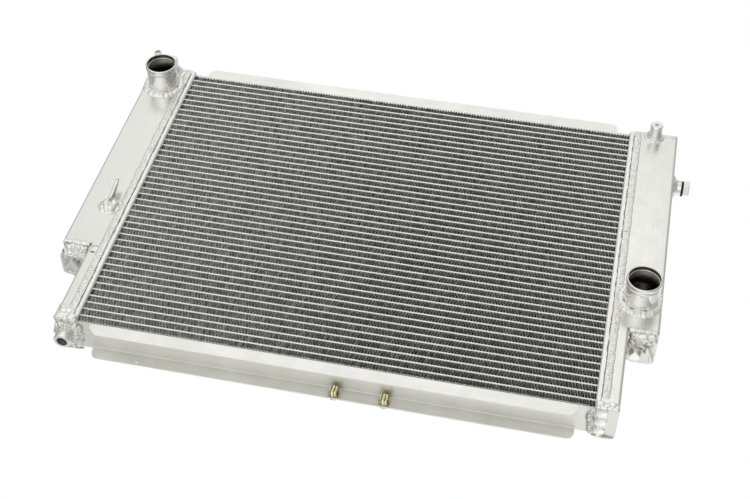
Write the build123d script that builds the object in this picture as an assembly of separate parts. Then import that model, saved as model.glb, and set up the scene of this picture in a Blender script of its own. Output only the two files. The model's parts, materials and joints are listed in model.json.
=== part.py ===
from build123d import *
import math
import os

# Cross-flow, all-aluminium car radiator, upright as it stands in the car.
# Origin: centre of the tube-and-fin core. +X along the coolant tubes,
# -Y the front, which carries the two hose necks, +Z up. Left is -X. Millimetres.
# Both tanks, their headers and feet are built on the +X side; the left ones are mirrored.

# ---- shared dimensions ----------------------------------------------------
gap = 0.02              # clearance between pieces that touch
over = 2.0              # how far a cutter runs past the material
lap = 0.2               # overlap of shapes fused into one solid

core_w = 572.0          # visible core width between the header plates
core_t = 42.0           # core thickness
tube_pitch = 10.0
tube_count = 43
tube_h = 2.0            # flat tube, outside height
core_h = (tube_count + 1) * tube_pitch   # over the side plates' mid planes
half_w = core_w / 2
half_h = core_h / 2
tube_zs = [-half_h + tube_pitch * (k + 1) for k in range(tube_count)]

header_t = 3.0          # header sheet
header_rim = 5.5        # header pan depth along X
tank_y = 25.0           # half thickness of header and tank
top_z = 224.0           # top of both tanks
bot_z = -222.0          # bottom of both tanks
weld_y = -tank_y - gap  # where fittings meet the front of the tanks

wide_x = 345.5          # outer wall of a tank's wide part
narrow_x = 312.0        # outer wall of its narrow lower part
step_z = -109.0         # underside of the wide part
sheet = 3.0             # tank sheet

upper_neck = (-319.8, 188.2)    # X, Z
lower_neck = (320.7, -62.5)
hose_r = 19.2
sensor_z = 156.0
drain_x, drain_y, drain_bore_r = -300.0, -4.0, 6.2


# ---- helpers --------------------------------------------------------------
def block(x0, x1, y0, y1, z0, z1):
    """Box given by its limits."""
    centre = Pos((x0 + x1) / 2, (y0 + y1) / 2, (z0 + z1) / 2)
    return centre * Box(abs(x1 - x0), abs(y1 - y0), abs(z1 - z0))


def rod_x(y, z, radius, x0, x1):
    """Cylinder along X."""
    return Pos((x0 + x1) / 2, y, z) * Rot(0, 90, 0) * Cylinder(radius, abs(x1 - x0))


def rod_y(x, z, radius, y0, y1):
    """Cylinder along Y."""
    return Pos(x, (y0 + y1) / 2, z) * Rot(90, 0, 0) * Cylinder(radius, abs(y1 - y0))


def rod_z(x, y, radius, z0, z1):
    """Cylinder along Z."""
    return Pos(x, y, (z0 + z1) / 2) * Cylinder(radius, abs(z1 - z0))


def hex_prism(half_flats, length):
    """Hexagon on the XY plane, half_flats from its axis to a flat, raised along +Z."""
    return extrude(RegularPolygon(half_flats / math.cos(math.pi / 6), 6), amount=length)


def outline(plane, points):
    """Face inside the closed polygon through points."""
    return make_face(plane * Polyline(points + [points[0]]))


def prism_xz(points, y0, y1):
    """Closed outline in X and Z, swept from y0 to y1."""
    return Pos(0, y0, 0) * extrude(outline(Plane.XZ, points), amount=y1 - y0, dir=(0, 1, 0))


def edges_at(edges, axis, value):
    """Edges whose centre lies at value along the axis "X", "Y" or "Z"."""
    return [e for e in edges if abs(getattr(e.center(), axis) - value) < 0.05]


def chamfer_end(part, axis, value, length):
    """Chamfer the edges of the end face at value along the axis."""
    return chamfer(edges_at(part.edges(), axis, value), length)


def on_side(shape, sign):
    """Leave a +X shape in place, or mirror it to the left for sign -1."""
    return shape if sign > 0 else mirror(shape, Plane.YZ)


def save(shape, node):
    if isinstance(shape, list):
        shape = Compound(children=shape)
    shape.label = node
    export_step(shape, "parts/" + node + ".step")


os.makedirs("parts", exist_ok=True)


# ---- core: flat tubes -----------------------------------------------------
tube_wall = 0.35
tube_stick = 2.0        # how far each tube stands past its header plate


def flat_tube():
    length = 2 * (half_w + header_t + tube_stick)
    bore = SlotOverall(core_t - 2 * tube_wall, tube_h - 2 * tube_wall)
    profile = Plane.YZ * (SlotOverall(core_t, tube_h) - bore)
    return Pos(-length / 2, 0, 0) * extrude(profile, amount=length)


tube = flat_tube()
save([Pos(0, 0, z) * tube for z in tube_zs], "core_tubes")


# ---- core: corrugated fin strips ------------------------------------------
fin_period = 14.0       # one corrugation of the simplified strip
fin_t = 0.4
fin_depth = 41.0
fin_film = 0.03         # brazing film at each crest
fin_crest = 1.2         # flat length of a crest
fin_end_room = 2.0      # least room left at each end of a strip
fin_h = tube_pitch - tube_h - 2 * fin_film
fin_waves = int((core_w - 2 * fin_end_room) // fin_period)


def fin_outline():
    """Folded sheet with flat crests: upper line forward, lower line back."""
    half = fin_period / 2
    start_x = -fin_waves * half
    corners = []        # x, z, on an upper crest, side of the crest (-1 left, +1 right)
    for i in range(2 * fin_waves + 1):
        upper = i % 2 == 1
        for side in (-1, 1):
            x = start_x + i * half + side * fin_crest / 2
            corners.append((x, fin_h / 2 if upper else -fin_h / 2, upper, side))
    corners = corners[1:-1]
    run, rise = half - fin_crest, fin_h - fin_t
    # shift of the inner corners along X that keeps the sheet thickness on the slopes
    shift = fin_t * (math.hypot(run, rise) - run) / rise
    top_line, under_line = [], []
    for i, (x, z, upper, side) in enumerate(corners):
        inner_x = x if i in (0, len(corners) - 1) else x - side * shift
        if upper:
            top_line.append((x, z))
            under_line.append((inner_x, z - fin_t))
        else:
            top_line.append((inner_x, z + fin_t))
            under_line.append((x, z))
    return top_line + under_line[::-1]


fin = prism_xz(fin_outline(), -fin_depth / 2, fin_depth / 2)
fin_zs = [-half_h + tube_pitch * k + tube_pitch / 2 for k in range(tube_count + 1)]
save([Pos(0, 0, z) * fin for z in fin_zs], "core_fins")


# ---- side plates: channels above and below the core -----------------------
plate_t = 2.0
flange_h = 14.5
flange_corner = 9.0
plate_end_gap = 0.1             # between the web and each header
bend_inner_r, bend_outer_r = 1.0, 1.9
flange_out = core_t / 2         # rear flange, outer face
flange_in = flange_out - plate_t
bolt_xs = (7.0, 63.2)
bolt_z = -228.8
nut_spigot_r = 4.5


def side_plate(sign, front_span, rear_span):
    """Channel with its web against the end fin strip and both flanges
    pointing away from the core. sign -1 below, +1 above; spans are the
    flanges' X limits."""
    core_side = sign * (half_h - plate_t / 2)
    far_side = sign * (half_h + plate_t / 2)
    tip = far_side + sign * flange_h
    web_x = half_w - plate_end_gap
    part = block(-web_x, web_x, -flange_out, flange_out, core_side, far_side)
    for (x0, x1), (y0, y1) in ((front_span, (-flange_out, -flange_in)),
                               (rear_span, (flange_in, flange_out))):
        flange = block(x0, x1, y0, y1, far_side, tip)
        corners = edges_at(flange.edges().filter_by(Axis.Y), "Z", tip)
        if sign < 0 and y0 < 0:
            # the lower front flange is cut off at 45 degrees on the left
            flange = chamfer([e for e in corners if e.center().X < 0], flange_corner)
            corners = edges_at(flange.edges().filter_by(Axis.Y), "Z", tip)
            corners = [e for e in corners if e.center().X > 0]
        part = part + fillet(corners, flange_corner)
    for z, y, radius in ((far_side, flange_in, bend_inner_r),
                         (core_side, flange_out, bend_outer_r)):
        bends = [e for e in edges_at(part.edges().filter_by(Axis.X), "Z", z)
                 if abs(abs(e.center().Y) - y) < 0.05]
        part = fillet(bends, radius)
    return part


def lower_side_plate():
    """Channel with two bolt holes and a small hole near the left end of the rear flange."""
    part = side_plate(-1, (-270.0, 268.0), (-273.0, 269.0))
    holes = [(x, bolt_z, nut_spigot_r + 0.05) for x in bolt_xs] + [(-218.5, -232.0, 1.5)]
    for x, z, radius in holes:
        part = part - rod_y(x, z, radius, flange_in - over, flange_out + over)
    return part


save(lower_side_plate(), "side_plate_lower")
save(side_plate(1, (-270.0, 270.0), (-270.0, 270.0)), "side_plate_upper")


# ---- clinch nuts, washers and flange bolts in the rear flange -------------
nut_r, nut_bore_r = 6.0, 3.05
nut_back_y = 24.9
spigot_inset = 0.3      # spigot end short of the flange's inner face
washer_r, washer_bore_r, washer_t = 6.3, 3.2, 1.2
collar_r, collar_t = 6.0, 1.1
hex_half_flats, hex_h = 5.0, 5.6
hex_turned_r, hex_chamfer = 5.72, 0.75
shank_r, shank_len = 3.0, 8.6
thread_chamfer = 0.6    # on the nut's back and the shank's end

washer_seat_y = flange_in - gap
collar_seat_y = washer_seat_y - washer_t - gap
hex_foot_y = collar_seat_y - collar_t


def clinch_nut(x):
    spigot = rod_y(x, bolt_z, nut_spigot_r, flange_in + spigot_inset, flange_out + lap)
    nut = spigot + rod_y(x, bolt_z, nut_r, flange_out + gap, nut_back_y)
    nut = chamfer_end(nut, "Y", nut_back_y, thread_chamfer)
    return nut - rod_y(x, bolt_z, nut_bore_r, flange_in - over, nut_back_y + over)


def bolt_washer(x):
    front_y = washer_seat_y - washer_t
    disc = rod_y(x, bolt_z, washer_r, front_y, washer_seat_y)
    return disc - rod_y(x, bolt_z, washer_bore_r, front_y - over, washer_seat_y + over)


def flange_bolt(x):
    head_y = hex_foot_y - hex_h
    end_y = collar_seat_y + shank_len
    collar = rod_y(x, bolt_z, collar_r, hex_foot_y, collar_seat_y)
    hexagon = Pos(x, hex_foot_y, bolt_z) * Rot(90, 0, 0) * hex_prism(hex_half_flats, hex_h)
    turned = rod_y(x, bolt_z, hex_turned_r, head_y, hex_foot_y + lap)
    turned = chamfer_end(turned, "Y", head_y, hex_chamfer)
    shank = rod_y(x, bolt_z, shank_r, collar_seat_y - lap, end_y)
    shank = chamfer_end(shank, "Y", end_y, thread_chamfer)
    return collar + (hexagon & turned) + shank


save([clinch_nut(x) for x in bolt_xs], "clinch_nuts")
for x, side in zip(bolt_xs, ("left", "right")):
    save(bolt_washer(x), "bolt_washer_" + side)
    save(flange_bolt(x), "flange_bolt_" + side)


# ---- header pans ----------------------------------------------------------
slot_gap = 0.03         # around each tube
header_corner_r, header_edge_r = 3.5, 2.6


def header():
    """Pan open away from the core, with a slot for each tube."""
    x_out = half_w + header_rim
    body = block(half_w, x_out, -tank_y, tank_y, bot_z, top_z)
    body = fillet(body.edges().filter_by(Axis.X), header_corner_r)
    body = fillet(edges_at(body.edges(), "X", half_w), header_edge_r)
    inner_y = tank_y - header_t
    body = body - block(half_w + header_t, x_out + over, -inner_y, inner_y,
                        bot_z + header_t, top_z - header_t)
    slot = Plane.YZ * SlotOverall(core_t + 2 * slot_gap, tube_h + 2 * slot_gap)
    cutter = Pos(half_w - over, 0, 0) * extrude(slot, amount=header_t + 2 * over)
    return body - [Pos(0, 0, z) * cutter for z in tube_zs]


save(on_side(header(), -1), "header_left")
save(on_side(header(), 1), "header_right")


# ---- tanks ----------------------------------------------------------------
seam = 0.1              # root gap of the header to tank weld
step_gap = 0.1          # between the step plate and the narrow part's wall
cap_t = 3.0
tank_corner_r = 3.2
join_x = half_w + header_rim + seam      # tank edge at the header weld


def tank_shell(neck):
    """Folded sheet tank, open towards the header, above, below and under
    the step; wide above the step and narrow below it."""
    shoulder_z = step_z + cap_t
    outer = [(join_x, bot_z + cap_t), (narrow_x, bot_z + cap_t), (narrow_x, shoulder_z),
             (wide_x, shoulder_z), (wide_x, top_z - cap_t), (join_x, top_z - cap_t)]
    # the hollow starts 1 mm above step_z, so it cuts through the shoulder
    hollow_z = step_z + 1
    inner = [(join_x - over, bot_z), (narrow_x - sheet, bot_z), (narrow_x - sheet, hollow_z),
             (wide_x - sheet, hollow_z), (wide_x - sheet, top_z), (join_x - over, top_z)]
    shell = prism_xz(outer, -tank_y, tank_y)
    upright = shell.edges().filter_by(Axis.Z)
    corners = edges_at(upright, "X", wide_x) + edges_at(upright, "X", narrow_x)
    shell = fillet(corners, tank_corner_r)
    shell = shell - prism_xz(inner, -tank_y + sheet, tank_y - sheet)
    neck_x, neck_z = abs(neck[0]), neck[1]
    return shell - rod_y(neck_x, neck_z, hose_r + 0.05, -tank_y - over, -tank_y + sheet + over)


def end_plate(x_in, x_out, z0, z1):
    """Flat plate that closes a tank opening, corners rounded as the sheet."""
    plate = block(x_in, x_out, -tank_y, tank_y, z0, z1)
    return fillet(edges_at(plate.edges().filter_by(Axis.Z), "X", x_out), tank_corner_r)


for sign, side, neck in ((-1, "left", upper_neck), (1, "right", lower_neck)):
    shell = tank_shell(neck)
    top_cap = end_plate(join_x, wide_x, top_z - cap_t + gap, top_z)
    bottom_cap = end_plate(join_x, narrow_x, bot_z, bot_z + cap_t - gap)
    step_plate = end_plate(narrow_x + step_gap, wide_x, step_z, step_z + cap_t - gap)
    if side == "right":
        shell = shell - rod_x(0, sensor_z, 6.6, wide_x - sheet - over, wide_x + over)
    else:
        bottom_cap = bottom_cap - rod_z(abs(drain_x), drain_y, drain_bore_r,
                                        bot_z - over, bot_z + cap_t + over)
    save(on_side(shell, sign), "tank_shell_" + side)
    save(on_side(top_cap, sign), "tank_top_cap_" + side)
    save(on_side(bottom_cap, sign), "tank_bottom_cap_" + side)
    save(on_side(step_plate, sign), "tank_step_plate_" + side)


# ---- hose necks -----------------------------------------------------------
mouth_y = -60.5
hose_wall_y = -tank_y + sheet       # inner face of the tank's front wall
hose_bore_r = 16.9
groove_w, groove_depth = 1.3, 1.2
lip_r, lip_len, lip_edge_r = 20.0, 6.1, 0.5
lip_mouth_r, nose_len = 18.5, 2.4   # tapered front of the lip
cup_r, cup_depth = 17.9, 5.6        # wider step in the mouth


def hose_neck(x, z):
    """Turned neck: plain barrel, grooved behind a rounded lip, with a stepped mouth."""
    lip_back = mouth_y + lip_len
    barrel_y = lip_back + groove_w
    neck = rod_y(x, z, hose_r, barrel_y, hose_wall_y)
    neck = neck + rod_y(x, z, hose_r - groove_depth, lip_back - lap, barrel_y + lap)
    lip = rod_y(x, z, lip_r, mouth_y + nose_len, lip_back)
    lip = fillet(edges_at(lip.edges(), "Y", lip_back), lip_edge_r)
    nose_place = Pos(x, mouth_y + nose_len / 2, z) * Rot(90, 0, 0)
    neck = neck + lip + nose_place * Cone(lip_r, lip_mouth_r, nose_len)
    neck = neck - rod_y(x, z, hose_bore_r, mouth_y - over, hose_wall_y + over)
    return neck - rod_y(x, z, cup_r, mouth_y - over, mouth_y + cup_depth)


save(hose_neck(*upper_neck), "upper_hose_neck")
save(hose_neck(*lower_neck), "lower_hose_neck")


# ---- sensor port on the right tank: bung, O-ring, blanking plug -----------
bung_r, bung_bore_r, bung_end_x = 9.4, 6.55, 356.5
bung_foot_r, bung_foot_len = 12.0, 3.0
plug_ring_r, plug_ring_wire = 8.02, 1.45    # O-ring, centre line and wire radius
plug_ring_x = bung_end_x + gap + plug_ring_wire
plug_hex_x = plug_ring_x + plug_ring_wire + gap
plug_hex_half_flats, plug_hex_h = 9.5, 7.0
plug_turned_r, plug_chamfer = 10.8, 1.1
plug_shank_r, plug_shank_x = 6.5, 347.5
recess_r, recess_x = 5.6, 364.2             # round recess in the plug's outer face


def sensor_bung():
    base_x = wide_x + gap
    foot_place = Pos(base_x + bung_foot_len / 2, 0, sensor_z) * Rot(0, 90, 0)
    bung = rod_x(0, sensor_z, bung_r, base_x, bung_end_x)
    bung = bung + foot_place * Cone(bung_foot_r, bung_r, bung_foot_len)
    return bung - rod_x(0, sensor_z, bung_bore_r, wide_x - over, bung_end_x + over)


def sensor_plug():
    end_x = plug_hex_x + plug_hex_h
    hex_place = Pos(plug_hex_x, 0, sensor_z) * Rot(0, 90, 0)
    hexagon = hex_place * hex_prism(plug_hex_half_flats, plug_hex_h)
    turned = rod_x(0, sensor_z, plug_turned_r, plug_hex_x, end_x)
    turned = chamfer_end(turned, "X", end_x, plug_chamfer)
    shank = rod_x(0, sensor_z, plug_shank_r, plug_shank_x, plug_hex_x + lap)
    plug = (hexagon & turned) + shank
    return plug - rod_x(0, sensor_z, recess_r, recess_x, end_x + over)


save(sensor_bung(), "sensor_bung")
save(Pos(plug_ring_x, 0, sensor_z) * Rot(0, 90, 0) * Torus(plug_ring_r, plug_ring_wire),
     "sensor_plug_oring")
save(sensor_plug(), "sensor_plug")


# ---- bleed port beside the upper neck: boss, seat O-ring, socket screw ----
bleed_x, bleed_z, bleed_tip_y = -333.8, 216.0, -55.6
bleed_boss_r, bleed_bore_r, bleed_duct_r = 4.8, 3.05, 1.5
bleed_ring_r, bleed_ring_wire = 2.08, 0.70
screw_r, screw_len, screw_inset = 3.0, 8.0, 3.0
screw_nose_r, screw_nose_len = 1.34, 2.6
socket_half_flats, socket_depth = 1.5, 2.5
screw_front_y = bleed_tip_y + screw_inset
screw_back_y = screw_front_y + screw_len
bleed_ring_y = screw_back_y + gap + bleed_ring_wire
seat_y = bleed_ring_y + bleed_ring_wire + gap


def bleed_boss():
    boss = rod_y(bleed_x, bleed_z, bleed_boss_r, bleed_tip_y, weld_y)
    boss = chamfer_end(boss, "Y", bleed_tip_y, 0.5)
    boss = boss - rod_y(bleed_x, bleed_z, bleed_bore_r, bleed_tip_y - over, seat_y)
    return boss - rod_y(bleed_x, bleed_z, bleed_duct_r, seat_y - over, weld_y + over)


def bleed_screw():
    screw = rod_y(bleed_x, bleed_z, screw_r, screw_front_y, screw_back_y)
    screw = screw + rod_y(bleed_x, bleed_z, screw_nose_r,
                          screw_back_y - lap, screw_back_y + screw_nose_len)
    socket_place = Pos(bleed_x, screw_front_y + socket_depth, bleed_z) * Rot(90, 0, 0)
    return screw - socket_place * hex_prism(socket_half_flats, socket_depth + over)


save(bleed_boss(), "bleed_boss")
save(Pos(bleed_x, bleed_ring_y, bleed_z) * Rot(90, 0, 0) * Torus(bleed_ring_r, bleed_ring_wire),
     "bleed_screw_oring")
save(bleed_screw(), "bleed_screw")


# ---- threaded bosses at the top of both tanks, for the fan cowl -----------
cowl_r, cowl_bore_r, cowl_bore_depth = 7.5, 2.5, 14.0
cowl_tip_y = -46.5


def cowl_boss(x, z):
    boss = rod_y(x, z, cowl_r, cowl_tip_y, weld_y)
    boss = chamfer_end(boss, "Y", cowl_tip_y, 0.8)
    return boss - rod_y(x, z, cowl_bore_r, cowl_tip_y - over, cowl_tip_y + cowl_bore_depth)


save(cowl_boss(-316.0, 217.0), "cowl_boss_left")
save(cowl_boss(317.0, 215.5), "cowl_boss_right")


# ---- hook on the left tank: round base and a tapered tongue ---------------
hook_x, hook_z, hook_r = -311.0, -43.0, 8.5
hook_front_y = -tank_y - 6.0
hook_slot_y = -tank_y - 2.0     # floor of the tongue's slot
tongue_x, tongue_t = -313.0, 3.0
tongue_gap = 0.04
tongue_foot_y = hook_slot_y - tongue_gap

# Y, Z of the tongue's side view
tongue_points = [
    (tongue_foot_y, -40.0), (-34.0, -40.0), (-38.0, -10.0),
    (-37.0, -8.0), (-28.0, -24.0), (tongue_foot_y, -33.0),
]


def hook_base():
    base = rod_y(hook_x, hook_z, hook_r, hook_front_y, weld_y)
    base = fillet(edges_at(base.edges(), "Y", hook_front_y), 3.0)
    return base - block(tongue_x - tongue_gap, tongue_x + tongue_t + tongue_gap,
                        hook_front_y - over, hook_slot_y, hook_z, hook_z + hook_r + over)


def hook_tongue():
    side_view = outline(Plane.YZ, tongue_points)
    return Pos(tongue_x, 0, 0) * extrude(side_view, amount=tongue_t, dir=(1, 0, 0))


save(hook_base(), "hook_base")
save(hook_tongue(), "hook_tongue")


# ---- drain port under the left tank ---------------------------------------
def drain_boss():
    tip_z = -239.0
    boss = rod_z(drain_x, drain_y, 10.0, tip_z, bot_z - gap)
    boss = chamfer_end(boss, "Z", tip_z, 0.8)
    return boss - rod_z(drain_x, drain_y, drain_bore_r, tip_z - over, bot_z + over)


save(drain_boss(), "drain_boss")


# ---- mounting feet under both steps ---------------------------------------
pad_t = 4.0
rib_half_t = 1.1


def rib_leg(start, end, z0, height):
    """Upright wall between two X, Y points, standing on z0."""
    dx, dy = end[0] - start[0], end[1] - start[1]
    length = math.hypot(dx, dy)
    off_x, off_y = -dy / length * rib_half_t, dx / length * rib_half_t
    points = [(start[0] - off_x, start[1] - off_y), (end[0] - off_x, end[1] - off_y),
              (end[0] + off_x, end[1] + off_y), (start[0] + off_x, start[1] + off_y)]
    return Pos(0, 0, z0) * extrude(outline(Plane.XY, points), amount=height)


def foot_bracket(x_out, y_front, drop, apex, leg_ends, rib_h):
    """Pad with a folded rib below it, on a shorter spacer block where it
    stands off the step by drop."""
    pad_z = step_z - pad_t - drop
    part = block(314.5, x_out, y_front, 23.5, pad_z, step_z - gap - drop)
    part = fillet(part.edges().filter_by(Axis.Z), 8.0)
    if drop:
        spacer = block(316.5, 343.0, y_front + 2.5, 21.0, step_z - drop - lap, step_z - gap)
        part = part + fillet(spacer.edges().filter_by(Axis.Z), 5.0)
    for leg_end in leg_ends:
        part = part + rib_leg(apex, leg_end, pad_z - rib_h, rib_h + lap)
    return part


def locating_peg():
    """Round peg under the right foot's pad."""
    tip_z = step_z - 17.0
    peg = rod_z(322.5, 0, 6.5, tip_z, step_z - pad_t - gap)
    return chamfer_end(peg, "Z", tip_z, 1.2)


left_foot = foot_bracket(x_out=349.0, y_front=-12.5, drop=4.0, apex=(332.0, -9.5),
                         leg_ends=((344.5, 12.5), (324.6, 5.5)), rib_h=7.0)
right_foot = foot_bracket(x_out=345.0, y_front=-17.0, drop=0.0, apex=(334.2, -8.5),
                          leg_ends=((337.6, 13.5), (342.6, 13.0)), rib_h=6.0)
save(on_side(left_foot, -1), "foot_bracket_left")
save(on_side(right_foot, 1), "foot_bracket_right")
save(locating_peg(), "locating_peg_right")


# ---- guide ear on the narrow part of the left tank ------------------------
def guide_ear():
    tip_x = -321.0
    ear = block(tip_x, -narrow_x - gap, -1.0, 2.0, -201.0, -158.0)
    return chamfer(edges_at(ear.edges().filter_by(Axis.Y), "X", tip_x), 4.0)


save(guide_ear(), "guide_ear")
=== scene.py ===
"""Car radiator: a finned core between two upright end tanks.

X runs across the core (left is -X), Z runs up the tanks and the thin depth lies on Y. The
front faces -Y. Positions are in metres; profiles, threads and weld puddles are in millimetres.
"""
import json
import math
import bpy
import bmesh
import numpy as np
from mathutils import Matrix, Vector, noise

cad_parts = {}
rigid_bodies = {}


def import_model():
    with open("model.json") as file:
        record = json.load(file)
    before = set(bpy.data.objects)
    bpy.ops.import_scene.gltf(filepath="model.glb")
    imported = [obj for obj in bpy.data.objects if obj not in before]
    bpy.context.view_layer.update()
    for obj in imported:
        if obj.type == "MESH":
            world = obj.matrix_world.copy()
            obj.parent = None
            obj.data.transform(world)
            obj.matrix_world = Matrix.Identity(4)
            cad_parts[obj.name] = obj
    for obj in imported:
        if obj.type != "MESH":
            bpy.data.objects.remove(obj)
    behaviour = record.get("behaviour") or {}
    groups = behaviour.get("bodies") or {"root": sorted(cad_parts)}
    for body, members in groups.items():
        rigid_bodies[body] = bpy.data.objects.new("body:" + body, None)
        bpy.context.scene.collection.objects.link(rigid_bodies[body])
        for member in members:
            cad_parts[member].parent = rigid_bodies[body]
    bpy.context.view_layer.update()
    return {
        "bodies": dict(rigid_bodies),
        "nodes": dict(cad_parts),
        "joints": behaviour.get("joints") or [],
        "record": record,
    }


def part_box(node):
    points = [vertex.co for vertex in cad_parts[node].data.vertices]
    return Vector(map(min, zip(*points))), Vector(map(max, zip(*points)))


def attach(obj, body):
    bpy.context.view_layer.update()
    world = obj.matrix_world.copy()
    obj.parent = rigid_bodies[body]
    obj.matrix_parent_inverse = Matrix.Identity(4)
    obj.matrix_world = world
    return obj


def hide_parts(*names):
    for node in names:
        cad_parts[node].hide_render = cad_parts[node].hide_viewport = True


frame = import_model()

NODES = frame["nodes"]
MM = 0.001
ROOT = "radiator"
SIDES = (("left", -1), ("right", 1))

TO_RIGHT, TO_REAR, UP = (1, 0, 0), (0, 1, 0), (0, 0, 1)
TO_LEFT, TO_FRONT, DOWN = (-1, 0, 0), (0, -1, 0), (0, 0, -1)
# A face: its two directions and its outward normal
FRONT_FACE = (TO_RIGHT, UP, TO_FRONT)
UNDERSIDE = (TO_RIGHT, TO_REAR, DOWN)

FRONT_Y = -0.025   # front face of the tanks
REAR_Y = 0.025


# ---------------------------------------------------------------- node graphs
NOISE_SPAN = (0.3, 0.7)   # where most of a noise texture's values lie


class Graph:
    """Short calls that build a node tree. All but node() and feed() return an output socket."""

    def __init__(self, tree):
        self.tree = tree
        tree.nodes.clear()

    def node(self, kind, **settings):
        node = self.tree.nodes.new("ShaderNode" + kind)
        for key, value in settings.items():
            setattr(node, key, value)
        return node

    def feed(self, socket, value):
        """Link a socket to another, or set its value."""
        if isinstance(value, bpy.types.NodeSocket):
            self.tree.links.new(value, socket)
        elif socket.type == "RGBA":
            socket.default_value = (*value, 1)
        else:
            socket.default_value = value

    def position(self, output="Object"):
        return self.node("TexCoord").outputs[output]

    def coords(self, scale=(1, 1, 1)):
        position = self.position()
        mapping = self.node("Mapping")
        self.feed(mapping.inputs["Scale"], scale)
        self.feed(mapping.inputs["Vector"], position)
        return mapping.outputs[0]

    def separate(self, vector):
        node = self.node("SeparateXYZ")
        self.feed(node.inputs[0], vector)
        return node.outputs

    def combine(self, **axes):
        node = self.node("CombineXYZ")
        for axis, value in axes.items():
            self.feed(node.inputs[axis], value)
        return node.outputs[0]

    def noise(self, vector, scale, detail=3.0, rough=0.6, distortion=0.0):
        node = self.node("TexNoise")
        self.feed(node.inputs["Scale"], scale)
        self.feed(node.inputs["Detail"], detail)
        self.feed(node.inputs["Roughness"], rough)
        self.feed(node.inputs["Distortion"], distortion)
        self.feed(node.inputs["Vector"], vector)
        return node.outputs["Fac"]

    def ramp(self, factor, *stops):
        """Colour ramp; each stop is (position, colour)."""
        node = self.node("ValToRGB")
        elements = node.color_ramp.elements
        while len(elements) < len(stops):
            elements.new(0.5)
        for element, (position, colour) in zip(elements, stops):
            element.position = position
            element.color = (*colour, 1)
        self.feed(node.inputs[0], factor)
        return node.outputs[0]

    def remap(self, value, to, span=NOISE_SPAN):
        """Map the range span of a value onto the range to, clamped."""
        node = self.node("MapRange")
        for i, number in enumerate((*span, *to), 1):
            self.feed(node.inputs[i], number)
        self.feed(node.inputs[0], value)
        return node.outputs[0]

    def math(self, operation, *values):
        node = self.node("Math", operation=operation)
        for socket, value in zip(node.inputs, values):
            self.feed(socket, value)
        return node.outputs[0]

    def dot(self, a, b):
        node = self.node("VectorMath", operation="DOT_PRODUCT")
        self.feed(node.inputs[0], a)
        self.feed(node.inputs[1], b)
        return node.outputs["Value"]

    def mix(self, factor, a, b, mode="MIX"):
        node = self.node("Mix", data_type="RGBA", blend_type=mode)
        # inputs 6 and 7 are the colour pair of this node
        for i, value in ((0, factor), (6, a), (7, b)):
            self.feed(node.inputs[i], value)
        return node.outputs[2]

    def bump(self, height, strength, distance, base=None):
        node = self.node("Bump")
        self.feed(node.inputs["Strength"], strength)
        self.feed(node.inputs["Distance"], distance)
        self.feed(node.inputs["Height"], height)
        if base is not None:
            self.feed(node.inputs["Normal"], base)
        return node.outputs[0]

    def face_normal(self):
        geometry = self.node("NewGeometry")
        return self.separate(geometry.outputs["True Normal"])

    def edge_wear(self):
        """Bright rubbed edges: how much the bevelled normal differs from the flat one."""
        bevel = self.node("Bevel", samples=4)
        self.feed(bevel.inputs["Radius"], 0.0012)
        geometry = self.node("NewGeometry")
        agreement = self.dot(bevel.outputs[0], geometry.outputs["Normal"])
        return self.remap(agreement, span=(0.99, 0.80), to=(0.0, 1.0))

    def surface(self, colour, roughness, normal, metallic=0.0):
        inputs = self.shader.inputs
        self.feed(inputs["Base Color"], colour)
        self.feed(inputs["Metallic"], metallic)
        self.feed(inputs["Roughness"], roughness)
        self.feed(inputs["Normal"], normal)


def new_material(name):
    material = bpy.data.materials.new(name)
    material.use_nodes = True
    graph = Graph(material.node_tree)
    output = graph.node("OutputMaterial")
    graph.shader = graph.node("BsdfPrincipled")
    graph.feed(output.inputs[0], graph.shader.outputs[0])
    return material, graph


def scaled(colour, factor):
    return tuple(min(1, x * factor) for x in colour)


# ---------------------------------------------------------------- materials
def metal(name, colour, rough, grain=(1, 1, 1), grain_scale=900, grain_bump=0.12,
          cloud=0.06, speck=0.0, wear=True, shade=None, underside_shade=None):
    """Satin aluminium: fine drawn grain, soft clouding, light rubbed edges.

    grain stretches the grain along an axis, cloud and speck are strengths of the darker areas,
    shade is the reach of painted shade in corners and recesses, and the underside shade is how far
    painted shade darkens the faces that look down.
    """
    material, g = new_material(name)
    flat = g.coords()
    drawn = g.coords(grain)
    grains = g.noise(drawn, scale=grain_scale)
    clouds = g.noise(flat, scale=14, detail=4, distortion=0.4)
    mottle = g.noise(flat, scale=70, detail=5)
    base = g.ramp(clouds, (0.3, scaled(colour, 1 - cloud)), (0.7, scaled(colour, 1 + cloud * 0.5)))
    base = g.mix(g.remap(grains, to=(0.0, 0.10)), base, scaled(colour, 0.80))
    if speck:
        specks = g.noise(flat, scale=1500, detail=2, rough=0.5)
        amount = g.remap(specks, span=(0.55, 0.75), to=(0.0, speck))
        base = g.mix(amount, base, scaled(colour, 0.55))
    if wear:
        base = g.mix(g.math("MULTIPLY", g.edge_wear(), 0.35), base, scaled(colour, 1.12))
    # painted shade: darker where ambient occlusion finds nearby surfaces, in corners and recesses
    if shade:
        occlusion = g.node("AmbientOcclusion", samples=8)
        g.feed(occlusion.inputs["Distance"], shade)
        amount = g.remap(occlusion.outputs["AO"], span=(0.35, 0.95), to=(0.55, 0.0))
        base = g.mix(amount, base, scaled(colour, 0.42))
    # painted shade: faces that look down are darker
    if underside_shade:
        facing_down = g.remap(g.face_normal()[2], span=(-0.9, -0.4), to=(1.0, 0.0))
        base = g.mix(facing_down, base, scaled(colour, underside_shade))
    broad = g.remap(mottle, to=(rough - 0.05, rough + 0.06))
    roughness = g.math("ADD", broad, g.remap(grains, to=(-0.03, 0.03)))
    normal = g.bump(grains, strength=grain_bump, distance=0.00006)
    normal = g.bump(mottle, strength=0.06, distance=0.0006, base=normal)
    g.surface(base, roughness, normal, metallic=1.0)
    return material


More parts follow.
